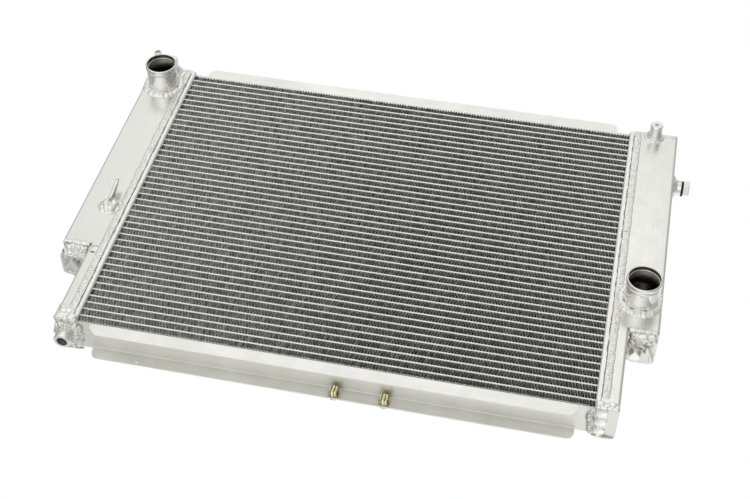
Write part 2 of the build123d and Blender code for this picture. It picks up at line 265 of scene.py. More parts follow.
def fin_material():
    """Louvred fin sheet: its own light grey at both faces, painted shade darkening it down in the
    core, a random tone per fold, and painted light and shade on the legs by the way they lean."""
    fold_width = 0.00175   # half of a corrugation
    rows_per_metre = 100.0
    material, g = new_material("fin_strip_aluminium")
    x, y, z = g.separate(g.position())
    # painted shade: the sheet darkens from both faces down into the core
    depth = g.remap(g.math("ABSOLUTE", y), span=(0.0135, 0.0206), to=(0.0, 1.0))
    depth = g.math("POWER", depth, 2.2)
    column = g.math("FLOOR", g.math("MULTIPLY", x, 1 / fold_width))
    row = g.math("FLOOR", g.math("MULTIPLY", z, rows_per_metre))
    cell = g.combine(X=column, Z=row)
    white = g.node("TexWhiteNoise")
    g.feed(white.inputs["Vector"], cell)
    flat = g.coords()
    patches = g.noise(flat, scale=160, detail=4, rough=0.65)
    fine = g.noise(flat, scale=900)
    base = g.mix(depth, (0.070, 0.070, 0.062), (0.66, 0.66, 0.625))
    tone = g.math("ADD", g.remap(white.outputs["Value"], span=(0, 1), to=(0.62, 1.18)),
                  g.remap(patches, to=(-0.22, 0.22)))
    # painted light and shade: legs that lean one way are lighter than those that lean the other
    normal_x, _, normal_z = g.face_normal()
    lean = g.math("MULTIPLY", normal_x, normal_z)
    tone = g.math("ADD", tone, g.remap(lean, span=(-0.12, 0.12), to=(-0.22, 0.30)))
    base = g.mix(1.0, base, g.combine(X=tone, Y=tone, Z=tone), "MULTIPLY")
    roughness = g.remap(fine, to=(0.38, 0.6))
    # louvre slats across the depth of the strip
    louvres = g.node("TexWave", wave_type="BANDS", bands_direction="Y", wave_profile="SAW")
    g.feed(louvres.inputs["Scale"], 145.0)
    g.feed(louvres.inputs["Distortion"], 0.0)
    g.feed(louvres.inputs["Vector"], flat)
    normal = g.bump(louvres.outputs["Fac"], strength=0.5, distance=0.0004)
    g.surface(base, roughness, normal, metallic=0.65)
    return material


def zinc_material():
    """Yellow chromate on steel, thin and greenish on the flats."""
    reflection_streak_pitch = 0.0035125
    material, g = new_material("yellow_zinc_steel")
    flat = g.coords()
    fine = g.noise(flat, scale=320, detail=4)
    broad = g.noise(flat, scale=90)
    base = g.ramp(broad, (0.28, (0.80, 0.72, 0.40)), (0.5, (0.94, 0.88, 0.58)),
                  (0.75, (0.96, 0.86, 0.50)))
    base = g.mix(g.remap(fine, span=(0.55, 0.8), to=(0.0, 0.5)), base, (0.42, 0.36, 0.16))
    # painted reflection: dark streaks side by side in X stand in for the flats mirroring light and
    # dark by turns
    x = g.separate(g.position())[0]
    wander = (g.math("MULTIPLY", x, 2 * math.pi / reflection_streak_pitch), g.remap(broad, to=(-0.9, 0.9)))
    reflection_streaks = g.math("SINE", g.math("ADD", *wander))
    amount = g.remap(reflection_streaks, span=(0.25, 0.75), to=(0.0, 0.88))
    base = g.mix(amount, base, (0.075, 0.062, 0.018))
    g.surface(base, g.remap(fine, to=(0.07, 0.16)),
              g.bump(fine, strength=0.10, distance=0.0001), metallic=1.0)
    return material


def rubber_material():
    material, g = new_material("o_ring_rubber")
    fine = g.noise(g.coords(), scale=500)
    base = g.ramp(fine, (0.3, (0.010,) * 3), (0.7, (0.022,) * 3))
    g.surface(base, g.remap(fine, to=(0.38, 0.55)),
              g.bump(fine, strength=0.15, distance=0.0002))
    return material


def weld_material(name, light, mid, deep, pits, rough, metallic=0.9, frost=1100.0):
    """Fused filler: frosted crests, darker valleys between the ripples, small pits.

    pits is the strength of the pits, rough the range of roughness, frost the noise scale.
    """
    material, g = new_material(name)
    flat = g.coords()
    tones = g.noise(flat, scale=300, detail=5)
    frosting = g.noise(flat, scale=frost)
    broad = g.noise(flat, scale=90)
    base = g.ramp(tones, (0.28, mid), (0.58, light))
    # the meshes carry how deep each point lies in a valley
    cavity = g.node("Attribute", attribute_name="cav").outputs["Fac"]
    # darker the deeper the point lies in a valley
    crease_darkening = g.math("MULTIPLY", cavity, g.remap(broad, to=(0.6, 1.25)))
    base = g.mix(crease_darkening, base, deep)
    base = g.mix(g.remap(frosting, span=(0.60, 0.76), to=(0.0, pits)), base, deep)
    roughness = g.math("ADD", g.remap(tones, to=rough), g.math("MULTIPLY", cavity, 0.15))
    g.surface(base, roughness, g.bump(frosting, strength=0.30, distance=0.0003), metallic)
    return material


M = {
    "tank": metal("tank_satin_aluminium", (0.82, 0.825, 0.77), rough=0.26, grain=(1, 1, 0.06),
                  grain_scale=700, grain_bump=0.025, cloud=0.030),
    "cap": metal("end_plate_aluminium", (0.80, 0.80, 0.765), rough=0.42, grain_scale=500,
                 grain_bump=0.16),
    # painted shade: a darker copy of the end plate sheet for the hook tongue, whose side lies in
    # shade
    "cap_painted_shade": metal("hook_sheet_aluminium_painted_shade", (0.52, 0.52, 0.49), rough=0.36, grain_scale=500),
    "header": metal("header_brazed_aluminium", (0.94, 0.94, 0.905), rough=0.42,
                    grain=(1, 1, 0.2), grain_scale=420, cloud=0.05, speck=0.18),
    # the side plates carry painted shade in corners and on the faces that look down
    "side": metal("side_plate_brushed_aluminium", (0.93, 0.93, 0.88), rough=0.48,
                  grain=(0.012, 1, 1), grain_scale=1100, grain_bump=0.50, cloud=0.08,
                  shade=0.014, underside_shade=0.88),
    "polish": metal("turned_polished_aluminium", (0.86, 0.86, 0.83), rough=0.11,
                    grain=(1, 0.05, 1), grain_scale=500, grain_bump=0.04, cloud=0.03),
    # painted shade: bore and cup are darkened copies of the aluminium for the inside of bores,
    # cups, grooves and slots, where shade falls
    "bore": metal("bore_aluminium_painted_shade", (0.17, 0.165, 0.135), rough=0.30, grain=(1, 0.3, 1),
                  grain_scale=700, grain_bump=0.20, cloud=0.10, wear=False),
    "cup": metal("cup_wall_aluminium_painted_shade", (0.20, 0.195, 0.16), rough=0.45, grain=(1, 0.3, 1),
                 grain_scale=700, grain_bump=0.20, cloud=0.10, wear=False),
    "machined": metal("machined_aluminium", (0.86, 0.86, 0.84), rough=0.24, grain_bump=0.10,
                      cloud=0.04),
    "tube": metal("tube_edge_aluminium", (0.93, 0.93, 0.91), rough=0.50, grain=(0.3, 1, 1),
                  grain_scale=500, grain_bump=0.30, cloud=0.05, speck=0.10, wear=False),
    # darker grey steel, used for the washers
    "steel_dark": metal("darker_washer_steel", (0.40, 0.38, 0.30), rough=0.30,
                        grain_scale=700, grain_bump=0.10, cloud=0.10),
    "steel": metal("plain_zinc_steel", (0.66, 0.66, 0.64), rough=0.30, grain_scale=700,
                   grain_bump=0.10, cloud=0.08),
    "fin": fin_material(),
    "zinc": zinc_material(),
    "rubber": rubber_material(),
    "weld": weld_material(
        "weld_filler_bright", light=(0.97, 0.97, 0.94), mid=(0.90, 0.90, 0.86),
        deep=(0.42, 0.41, 0.36), pits=0.24, rough=(0.20, 0.36)),
    "weld_white": weld_material(
        "weld_filler_white", light=(0.97, 0.97, 0.94), mid=(0.92, 0.92, 0.88),
        deep=(0.55, 0.54, 0.49), pits=0.20, rough=(0.26, 0.42), metallic=0.66),
    "weld_dull": weld_material(
        "weld_filler_darker", light=(0.90, 0.90, 0.86), mid=(0.72, 0.72, 0.67),
        deep=(0.12, 0.12, 0.10), pits=0.60, rough=(0.28, 0.48)),
    "sand": weld_material(
        "weld_band_sandy", light=(0.97, 0.97, 0.93), mid=(0.90, 0.90, 0.855),
        deep=(0.50, 0.49, 0.43), pits=0.42, rough=(0.36, 0.52), metallic=0.80, frost=1500.0),
    "seam": weld_material(
        "dark_seam", light=(0.42, 0.41, 0.36), mid=(0.22, 0.21, 0.18),
        deep=(0.06, 0.06, 0.05), pits=0.6, rough=(0.45, 0.65), metallic=0.5),
}

# Material of each CAD piece; all the others are plain "cap" sheet
CAD_MATERIALS = {
    "tube": ["core_tubes"],
    "fin": ["core_fins"],
    "header": ["header_left", "header_right"],
    "side": ["side_plate_lower", "side_plate_upper"],
    "tank": ["tank_shell_left", "tank_shell_right"],
    "polish": ["upper_hose_neck", "lower_hose_neck"],
    "machined": ["sensor_bung", "sensor_plug", "bleed_boss", "bleed_screw", "cowl_boss_left",
                 "cowl_boss_right", "drain_boss", "locating_peg_right"],
    "rubber": ["sensor_plug_oring", "bleed_screw_oring"],
    "weld": ["hook_base"],
    # painted shade: the hook tongue gets the darker sheet
    "cap_painted_shade": ["hook_tongue"],
    "steel": ["clinch_nuts"],
    "zinc": ["flange_bolt_left", "flange_bolt_right"],
    "steel_dark": ["bolt_washer_left", "bolt_washer_right"],
}
MATERIAL_OF = {piece: key for key, pieces in CAD_MATERIALS.items() for piece in pieces}
for piece, node in NODES.items():
    node.data.materials.clear()
    node.data.materials.append(M[MATERIAL_OF.get(piece, "cap")])


# ---------------------------------------------------------------- mesh tools
def add_object(name, data):
    ob = bpy.data.objects.new(name, data)
    bpy.context.scene.collection.objects.link(ob)
    return ob


def make(name, verts, faces, mat, body=ROOT, smooth=True, cav=None):
    """Mesh object from lists; cav is how deep each vertex lies in a weld valley, 0 to 1."""
    me = bpy.data.meshes.new(name)
    me.from_pydata([tuple(v) for v in verts], [], [tuple(int(i) for i in f) for f in faces])
    if cav is not None:
        attribute = me.attributes.new("cav", "FLOAT", "POINT")
        attribute.data.foreach_set("value", np.clip(np.asarray(cav, np.float32), 0, 1))
    me.validate()
    ob = add_object(name, me)
    me.materials.append(M[mat])
    if smooth:
        me.polygons.foreach_set("use_smooth", [True] * len(me.polygons))
    bm = bmesh.new()
    bm.from_mesh(me)
    bmesh.ops.recalc_face_normals(bm, faces=bm.faces)
    bm.to_mesh(me)
    bm.free()
    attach(ob, body)
    return ob


def make_big(name, verts, quads, mat):
    """Fast path for large regular meshes (numpy arrays, quads)."""
    me = bpy.data.meshes.new(name)
    count = len(quads)
    me.vertices.add(len(verts))
    me.vertices.foreach_set("co", np.asarray(verts, np.float32).ravel())
    me.loops.add(count * 4)
    me.loops.foreach_set("vertex_index", np.asarray(quads, np.int32).ravel())
    me.polygons.add(count)
    me.polygons.foreach_set("loop_start", np.arange(0, count * 4, 4, dtype=np.int32))
    me.polygons.foreach_set("loop_total", np.full(count, 4, np.int32))
    me.update(calc_edges=True)
    me.validate()
    ob = add_object(name, me)
    me.materials.append(M[mat])
    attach(ob, ROOT)
    return ob


def bridge(a, b, count):
    """Quads between two closed rings of count vertices that start at a and b."""
    return [(a + k, a + (k + 1) % count, b + (k + 1) % count, b + k) for k in range(count)]


def front_centre(piece):
    """Middle of a CAD piece in X and Z, on its foremost Y."""
    lo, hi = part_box(piece)
    return (lo.x + hi.x) / 2, lo.y, (lo.z + hi.z) / 2


def axis_frame(axis):
    a = Vector(axis).normalized()
    u = a.orthogonal().normalized()
    return a, u, a.cross(u)


def ring_body(name, origin, frame, rows, mat, slot, body=ROOT, smooth=True, order=None,
              closed=True, caps=False):
    """Skin over rings round an axis. Each row is (distance along the axis, radii) in mm."""
    axis, u, v = frame
    count = len(rows[0][1])
    verts, faces = [], []
    for along, radii in rows:
        for k, radius in enumerate(radii):
            turn = 2 * math.pi * k / count
            spoke = u * math.cos(turn) + v * math.sin(turn)
            verts.append(Vector(origin) + axis * (along * MM) + spoke * (radius * MM))
    order = order or list(range(len(rows)))
    if closed:
        order = order + order[:1]
    for a, b in zip(order, order[1:]):
        faces += bridge(a * count, b * count, count)
    if caps:
        faces.append(range(count))
        faces.append(range(len(verts) - count, len(verts)))
    return make(name, verts, faces, mat, body, smooth)


def lathe(name, origin, axis, profile, mat, slot, n=64, body=ROOT, closed=True):
    """Solid of revolution; the profile is a list of (distance along axis, radius) in mm."""
    rows = [(along, [radius] * n) for along, radius in profile]
    return ring_body(name, origin, axis_frame(axis), rows, mat, slot, body, closed=closed)


def thread(name, origin, axis, start, stop, root, depth, pitch, mat, slot="machined",
           body=ROOT, inner=False, n=48, per_turn=8, wall=0.5):
    """Helical thread between start and stop (mm along axis), on a sleeve of the given wall.
    An inner thread grows inward from its root radius."""
    steps = max(4, int((stop - start) / pitch * per_turn))
    sign = -1 if inner else 1
    rows = []
    for i in range(steps + 1):
        along = start + (stop - start) * i / steps
        # the crests die out at both ends
        fade = min(1.0, (along - start) / (pitch * 0.8), (stop - along) / (pitch * 0.8))
        radii = []
        for k in range(n):
            phase = (along / pitch - k / n) % 1.0
            ridge = 1 - abs(2 * phase - 1)
            ridge = min(1.0, max(0.0, (ridge - 0.12) / 0.70))   # flat root and crest
            radii.append(root + sign * depth * ridge * max(0.0, fade))
        rows.append((along, radii))
    rows += [(along, [root - sign * wall] * n) for along in (start, stop)]
    order = [*range(steps + 1), steps + 2, steps + 1]
    return ring_body(name, origin, axis_frame(axis), rows, mat, slot, body, order=order)


def hex_radius(turn, half_flats):
    """Radius of a hexagon at an angle, for half its width across flats."""
    return half_flats / math.cos((turn + math.pi / 6) % (math.pi / 3) - math.pi / 6)


def hex_head(name, origin, axis, length, flats, flat_dir, mat, slot, body, dish=0.35,
             dish_radius=None):
    """Hexagon that ends at the origin in a chamfered, dished face; flats is the width across
    flats in mm and flat_dir, square to the axis, is where one flat looks."""
    n = 72
    face_radius = flats / 2 * 0.955
    axis, flat = Vector(axis), Vector(flat_dir)
    corners = [hex_radius(2 * math.pi * k / n, flats / 2) for k in range(n)]
    rows = []
    for share in [0, 0.25] + [0.25 + 0.75 * i / 10 for i in range(1, 11)]:
        along = -length + length * share
        # a 30 degree cone cuts the corners back near the end
        cone = face_radius - along / math.tan(math.radians(30))
        rows.append((along, [min(corner, cone) for corner in corners]))
    dish_radius = dish_radius or flats / 2 * 0.72
    rows.append((0, [face_radius - 0.11] * n))
    rows.append((-0.02, [dish_radius] * n))
    rows.append((-dish, [dish_radius - dish * 0.8] * n))
    rows.append((-dish, [0.25] * n))
    return ring_body(name, origin, (axis, flat, axis.cross(flat)), rows, mat, slot, body,
                     smooth=False, closed=False, caps=True)


# ---------------------------------------------------------------- weld tools
def fbm(spot):
    """Three octaves of noise."""
    return (noise.noise(spot) + 0.5 * noise.noise(spot * 2.1 + Vector((5, 1, 7)))
            + 0.25 * noise.noise(spot * 4.3))


def resample(path, normals, step, closed):
    """Even stations along a path: points, normals and the whole length."""
    path = [Vector(p) for p in path]
    normals = [Vector(normal).normalized() for normal in normals]
    spans = len(path) if closed else len(path) - 1
    lengths = [(path[(i + 1) % len(path)] - path[i]).length for i in range(spans)]
    total = sum(lengths)
    count = max(6, int(total / step))
    points, outs = [], []
    passed, i = 0.0, 0
    for k in range(count if closed else count + 1):
        run = total * k / count
        while i < spans - 1 and passed + lengths[i] < run:
            passed += lengths[i]
            i += 1
        t = min(1.0, (run - passed) / max(lengths[i], 1e-9))
        j = (i + 1) % len(path)
        points.append(path[i].lerp(path[j], t))
        outs.append(normals[i].lerp(normals[j], t).normalized())
    return points, outs, total


def bead(name, path, normals, width, height, pitch, ripple, lumps, sink=0.4, closed=False,
         mat="weld", seed=0, across=11, step=None, skew=0.5, grit=0.06, x_limit=None):
    """Weld bead along a path: a row of overlapped ripples whose underside is buried.

    width, height, step and x_limit are in metres, ripple pitch and sink in mm. ripple, lumps
    and grit are relative strengths, skew bows the ripples along the run, across is the number
    of points over the top.
    """
    step = step or min(pitch * MM / 6, width / 7)
    points, outs, total = resample(path, normals, step, closed)
    n = len(points)
    spans = n if closed else n - 1
    verts, cav = [], []
    # the fixed offsets and scales keep the noises apart from one another
    for k, (point, out) in enumerate(zip(points, outs)):
        before = points[k - 1 if closed else max(k - 1, 0)]
        after = points[(k + 1) % n if closed else min(k + 1, n - 1)]
        side = (after - before).normalized().cross(out).normalized()
        run = total * k / spans
        spot = Vector((point.x * 140 + seed * 7.1, point.y * 140, point.z * 140))
        wide = 1 + lumps * noise.noise(spot) * 1.6
        tall = 1 + lumps * noise.noise(spot * 1.7 + Vector((9, 3, 1))) * 2.0
        sway = lumps * width * 0.35 * noise.noise(spot * 0.8 + Vector((3, 8, 2)))
        end = 1.0   # an open bead narrows and sinks at both ends
        if not closed:
            end = min(1.0, math.sqrt(max(0.0, min(run, total - run) / (width * 0.9))) + 0.05)
        half = width / 2 * wide * (0.55 + 0.45 * end)
        for w in range(across):
            t = -1 + 2 * w / (across - 1)
            phase = (run / MM) / pitch + skew * (1 - t * t) + 0.22 * noise.noise(spot * 0.6)
            wave = math.sin(math.pi * (phase - math.floor(phase))) ** 0.6
            crest = 1 - ripple * (1 - wave) * 1.4
            grain = grit * fbm(Vector((point.x * 900 + t * 3.1, point.y * 900 + seed,
                                       point.z * 900 + t * 2.3)))
            dome = max(0.0, 1 - t * t) ** 0.55 * crest + grain * (1 - t * t)
            rise = height * max(0.05, tall) * dome * end
            verts.append(point + side * (t * half + sway) + out * rise)
            # valleys between ripples and the two rims are darker
            valley = (1 - wave) ** 3 * min(1.0, ripple * 4.5)
            cav.append(valley + max(0.0, abs(t) - 0.86) * 3.2 - grain * 3)
        for t in (0.9, -0.9):
            verts.append(point + side * (t * half + sway) - out * sink * MM)
            cav.append(0.6)
    if x_limit:
        for v in verts:
            v.x = max(-x_limit, min(x_limit, v.x))
    ring = across + 2
    faces = []
    for k in range(spans):
        faces += bridge(k * ring, (k + 1) % n * ring, ring)
    if not closed:
        faces.append(range(ring - 1, -1, -1))
        faces.append(range((n - 1) * ring, n * ring))
    return make(name, verts, faces, mat, cav=cav)


def straight_bead(name, start, end, normal, points=30, jitter=0.0, jitter_seed=0, **shape):
    """Bead on a line whose points stray by jitter (metres) in X and Z."""
    start, end = Vector(start), Vector(end)
    path = []
    for i in range(points):
        p = start.lerp(end, i / (points - 1))
        if jitter:
            stray_x = noise.noise(p * 90 + Vector((jitter_seed, 0, 0)))
            stray_z = noise.noise(p * 90 + Vector((0, jitter_seed, 3)))
            p = p + Vector((stray_x, 0, stray_z)) * jitter
        path.append(p)
    bead(name, path, [normal] * points, **shape)


def ring_weld(name, centre, axis, radius, lean, **shape):
    """Fillet weld round a boss that stands on a face; lean tips it away from the axis."""
    n = 72
    a, u, v = axis_frame(axis)
    turns = [2 * math.pi * k / n for k in range(n)]
    spokes = [u * math.cos(turn) + v * math.sin(turn) for turn in turns]
    path = [Vector(centre) + spoke * radius for spoke in spokes]
    normals = [(a + spoke * lean).normalized() for spoke in spokes]
    bead(name, path, normals, sink=0.6, closed=True, **shape)


def pool(name, origin, face, size, puddles, border, mat="weld", seed=0, rough=0.12, ripple=0.05):
    """Overlapping weld puddles on a face. size and puddles are in mm; a puddle is
    (u, v, radius, height) from the origin corner. The rim dips under the face over border mm."""
    cell = 0.45
    floor_height = -0.6
    underside = 0.5
    origin = Vector(origin)
    U, V, N = (Vector(direction) for direction in face)
    length_u, length_v = size
    nu, nv = (max(6, int(length / cell)) for length in size)
    verts, cav = [], []
    for a in range(nu + 1):
        for b in range(nv + 1):
            u, v = length_u * a / nu, length_v * b / nv
            # wander makes the round puddles uneven
            spot = Vector((u * 0.35 + seed * 3.3, v * 0.35, seed))
            wander_u = u + 0.9 * noise.noise(spot)
            wander_v = v + 0.9 * noise.noise(spot + Vector((7, 7, 7)))
            heights = []
            for puddle_u, puddle_v, radius, height in puddles:
                d = math.hypot(wander_u - puddle_u, wander_v - puddle_v) / radius
                if d < 1:
                    rings = 1 + ripple * math.cos(d * radius * 4.2)
                    heights.append(height * (1 - d * d) ** 0.55 * rings)
            heights.sort(reverse=True)
            # darker where two puddles meet and round their edges
            if len(heights) > 1:
                crease_darkening = max(0.0, 1 - (heights[0] - heights[1]) / 0.35) * 0.9
            elif heights:
                crease_darkening = max(0.0, 1 - heights[0] / 0.5) * 0.7
            else:
                crease_darkening = 0.5
            grain = fbm(Vector((u * 0.8 + seed, v * 0.8, seed * 2.0)))
            h = heights[0] if heights else floor_height
            h += rough * grain * (1.0 if heights else 0.2)
            inset = min(u, v, length_u - u, length_v - v) / border
            if inset < 1:
                h = h * inset + floor_height * (1 - inset)
            verts.append(origin + U * (u * MM) + V * (v * MM) + N * (h * MM))
            cav.append(max(0.0, crease_darkening - grain * 0.35))
    w = nv + 1
    faces = [(a * w + b, (a + 1) * w + b, (a + 1) * w + b + 1, a * w + b + 1)
             for a in range(nu) for b in range(nv)]
    # close the underside so the pool is a solid body
    base = len(verts)
    rim = ([a * w for a in range(nu + 1)] + [nu * w + b for b in range(1, nv + 1)]
           + [a * w + nv for a in range(nu - 1, -1, -1)] + list(range(nv - 1, 0, -1)))
    count = len(rim)
    verts += [verts[r] - N * (underside * MM) for r in rim]
    cav += [0.6] * count
    for k in range(count):
        k2 = (k + 1) % count
        faces.append((rim[k], rim[k2], base + k2, base + k))
    faces.append(range(base + count - 1, base - 1, -1))
    return make(name, verts, faces, mat, cav=cav)


# ---------------------------------------------------------------- the core
FIN_HALF_X = 0.2855
FIN_PERIOD = 3.5 * MM
FIN_WAVES = int(2 * FIN_HALF_X / FIN_PERIOD)
FIN_SHEET = 0.13 * MM
FIN_HEIGHT = 7.94 * MM
FIN_CREST = FIN_HEIGHT / 2 - FIN_SHEET / 2   # centre line of the sheet at a crest
FIN_BEND = 0.30 * MM                         # radius of a crest
BEND_STEPS = 4
FIN_HALF_Y = 20.5 * MM
FIN_ROWS = 44
ROW_PITCH = 10.0
ROWS_PER_OBJECT = 11


def fold_line():
    """Centre line of a strip in X and Z: rounded crests joined by steep legs."""
    start = -FIN_WAVES * FIN_PERIOD / 2
    wave = []
    for half, sign in enumerate((-1, 1)):
        for s in range(BEND_STEPS + 1):
            a = math.pi * (0.06 + 0.88 * s / BEND_STEPS)
            wave.append((FIN_PERIOD * (0.5 * half) - math.cos(a) * FIN_BEND,
                         sign * (FIN_CREST - FIN_BEND + math.sin(a) * FIN_BEND)))
    wave = np.array(wave)
    waves = [wave + [start + FIN_PERIOD * k, 0] for k in range(FIN_WAVES)]
    last = wave[:BEND_STEPS + 1] + [start + FIN_PERIOD * FIN_WAVES, 0]
    return np.concatenate(waves + [last])


def strip_mesh(line):
    """Vertices and quads of one even strip. The vertices are four copies of the line:
    one skin at the front and back, then the other skin at the front and back."""
    slope = np.gradient(line, axis=0)
    slope /= np.linalg.norm(slope, axis=1)[:, None]
    normal = np.stack([-slope[:, 1], slope[:, 0]], 1)
    n = len(line)
    edges = []
    for skin in (line + normal * FIN_SHEET / 2, line - normal * FIN_SHEET / 2):
        for y in (-FIN_HALF_Y, FIN_HALF_Y):
            edges.append(np.stack([skin[:, 0], np.full(n, y), skin[:, 1]], 1))
    i = np.arange(n - 1)
    quads = np.concatenate([
        np.stack([i, i + 1, n + i + 1, n + i], 1),
        np.stack([2 * n + i + 1, 2 * n + i, 3 * n + i, 3 * n + i + 1], 1),
        np.stack([i + 1, i, 2 * n + i, 2 * n + i + 1], 1),
        np.stack([n + i, n + i + 1, 3 * n + i + 1, 3 * n + i], 1),
        np.array([[0, n, 3 * n, 2 * n], [n - 1, 3 * n - 1, 4 * n - 1, 2 * n - 1]]),
    ])
    return np.concatenate(edges), quads


def add_teeth(verts, faces, folds, lowest, z, rng):
    """Triangles that fill the gaps between the outer crests of the lowest or highest strip."""
    height = 0.9 if lowest else 3.1
    edge = z + (-FIN_CREST if lowest else FIN_CREST)
    for k in range(0 if lowest else 1, 2 * FIN_WAVES - 2, 2):
        left, right = folds[k] + FIN_BEND, folds[k + 2] - FIN_BEND
        if right - left < 0.8 * MM:
            continue
        rise = height * MM * rng.uniform(0.7, 1.15)
        tip = edge + (rise if lowest else -rise)
        i = len(verts)
        for y in (-20.75 * MM, -20.2 * MM):
            verts.extend([(left, y, edge), (right, y, edge), (folds[k + 1], y, tip)])
        faces.extend([(i, i + 1, i + 2), (i + 3, i + 5, i + 4), (i, i + 3, i + 4, i + 1),
                      (i + 1, i + 4, i + 5, i + 2), (i + 2, i + 5, i + 3, i)])


def fin_core():
    """44 corrugated fin strips, each shifted and a little uneven along its length."""
    line = fold_line()
    n = len(line)
    even, quads = strip_mesh(line)
    fold_of = np.arange(n) // (BEND_STEPS + 1)
    rng = np.random.RandomState(11)
    rows, tooth_verts, tooth_faces = [], [], []
    for r in range(FIN_ROWS):
        z = ROW_PITCH * (r - (FIN_ROWS - 1) / 2) * MM
        strip = even.copy()
        shift = rng.uniform(0, FIN_PERIOD)
        drift = np.sin(strip[:, 0] * rng.uniform(18, 40) + rng.uniform(0, 6)) * 0.25 * MM
        jitter = rng.normal(0, 0.20, 2 * FIN_WAVES + 3) * MM
        strip[:, 0] += drift + shift - FIN_PERIOD / 2 + jitter[np.tile(fold_of, 4)]
        strip[:, 0] = np.clip(strip[:, 0], -FIN_HALF_X, FIN_HALF_X)
        strip[:, 2] += z
        rows.append(strip)
        if r in (0, FIN_ROWS - 1):
            folds = [strip[:n, 0][fold_of == k].mean() for k in range(2 * FIN_WAVES)]
            add_teeth(tooth_verts, tooth_faces, folds, r == 0, z, rng)
    for number, first in enumerate(range(0, FIN_ROWS, ROWS_PER_OBJECT), 1):
        verts = np.concatenate(rows[first:first + ROWS_PER_OBJECT])
        faces = np.concatenate([quads + k * len(even) for k in range(ROWS_PER_OBJECT)])
        make_big("fin_strips_%d" % number, verts, faces, "fin")
    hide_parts("core_fins")
    make("braze_teeth", tooth_verts, tooth_faces, "side", smooth=False)


fin_core()

# ---------------------------------------------------------------- header seams
header_lo, header_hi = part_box("header_right")
TOP, BOTTOM = header_hi.z, header_lo.z
SHELL_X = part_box("tank_shell_right")[1].x        # outer side of the tank
FOOT_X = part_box("tank_bottom_cap_right")[1].x    # outer side of its narrow foot
STEP_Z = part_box("tank_step_plate_right")[0].z    # underside of the step between them
HEADER_WELD_X = 0.2963
HEADER_SEAM_X = 0.2915


def header_welds():
    """Sandy weld band and thin dark seam down both faces of each header."""
    for side, sign in SIDES:
        for face, out in (("front", -1), ("rear", 1)):
            x, y = sign * HEADER_WELD_X, out * REAR_Y
            straight_bead(
                "header_weld_%s_%s" % (side, face), (x, y, BOTTOM + 0.012), (x, y, TOP - 0.004),
                (0, out, 0), points=60, jitter=0.0004, jitter_seed=sign + out,
                width=0.0088, height=0.00085, pitch=4.2, ripple=0.20, lumps=0.07,
                mat="sand", seed=3 + sign, across=13, step=0.0007, grit=0.42)
            x = sign * HEADER_SEAM_X
            straight_bead(
                "header_seam_%s_%s" % (side, face), (x, y, BOTTOM + 0.006), (x, y, TOP - 0.006),
                (0, out, 0), points=90, jitter=0.0006, jitter_seed=5 + sign,
                width=0.0011, height=0.00022, pitch=2.2, ripple=0.5, lumps=0.9, sink=0.15,
                mat="seam", seed=9 + sign, across=7, step=0.0011, grit=0.3)


header_welds()

# ---------------------------------------------------------------- hose necks
NECK_RADIUS = 19.2
NECK_BORE = 17.3
# Rolled lip and the groove behind it: (distance from the mouth, radius) in mm
NECK_LIP = [(0.0, 18.3), (0.0, 18.7), (0.35, 19.35), (1.0, 19.8), (2.2, 20.0), (5.2, 20.0),
            (5.7, 19.75), (6.05, 19.2), (6.15, 18.2), (7.5, 18.2), (7.7, 18.9),
            (8.0, NECK_RADIUS)]
NECK_MOUTH = [(6.2, NECK_BORE), (5.9, 18.0), (0.4, 18.0)]


def hose_neck(name):
    """Turned barrel with a rolled lip, a groove under it and a stepped mouth."""
    lo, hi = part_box(name)
    mouth = front_centre(name)
    length = (hi.y - lo.y) / MM
    barrel = [(float(t), NECK_RADIUS) for t in np.linspace(10.0, length - 0.05, 20)]
    outer = NECK_LIP + barrel + [(length, NECK_BORE)] + NECK_MOUTH
    turned = lathe(name + "_turned", mouth, TO_REAR, outer, "polish", "machined", n=128)
    # painted shade: the cup, bore and groove linings use the dark bore and cup materials for the
    # shade inside the mouth and the groove
    linings = [
        ("_cup", "cup", [(0.55, 18.02), (5.0, 18.02), (5.0, 17.85), (0.8, 17.85)]),
        ("_shoulder", "machined", [(5.05, 18.02), (6.0, 18.02), (6.0, 17.1), (5.75, 16.95),
                                   (5.35, 17.0), (5.1, 17.5)]),
        ("_bore", "bore", [(6.05, 17.32), (length - 0.1, 17.32), (length - 0.1, 16.95),
                           (6.05, 16.95)]),
        ("_groove", "cup", [(6.2, 18.1), (7.45, 18.1), (7.45, 18.32), (6.2, 18.32)]),
    ]
    for suffix, mat, profile in linings:
        lathe(name + suffix, mouth, TO_REAR, profile, mat, "machined", n=96)
    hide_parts(name)


hose_neck("upper_hose_neck")
hose_neck("lower_hose_neck")

# fat ripple weld at the foot of each barrel, kept within the tank's side
for seed, level in enumerate(("upper", "lower"), 1):
    x, _, z = front_centre(level + "_hose_neck")
    ring_weld(level + "_neck_weld", (x, FRONT_Y, z), TO_FRONT, radius=0.0230, lean=0.55,
              width=0.0106, height=0.0034, pitch=5.6, lumps=0.22, ripple=0.13, seed=seed,
              mat="weld_white", x_limit=SHELL_X - 0.0004)

# ---------------------------------------------------------------- bosses
# Flared feet: (height above the face, radius) in mm
COWL_FLARE = [(-0.3, 11.4), (0.3, 11.3), (1.4, 10.5), (3.2, 9.5), (5.2, 8.5), (7.2, 7.5),
              (8.4, 6.9), (8.6, 6.2), (8.6, 4.6), (-0.3, 4.6)]
SENSOR_FLARE = [(-0.3, 14.2), (0.3, 14.1), (1.2, 13.0), (2.6, 11.7), (4.2, 10.7), (5.8, 10.1),
                (6.4, 9.6), (6.4, 8.0), (-0.3, 8.0)]
DRAIN_X, DRAIN_Y = -0.300, -0.004

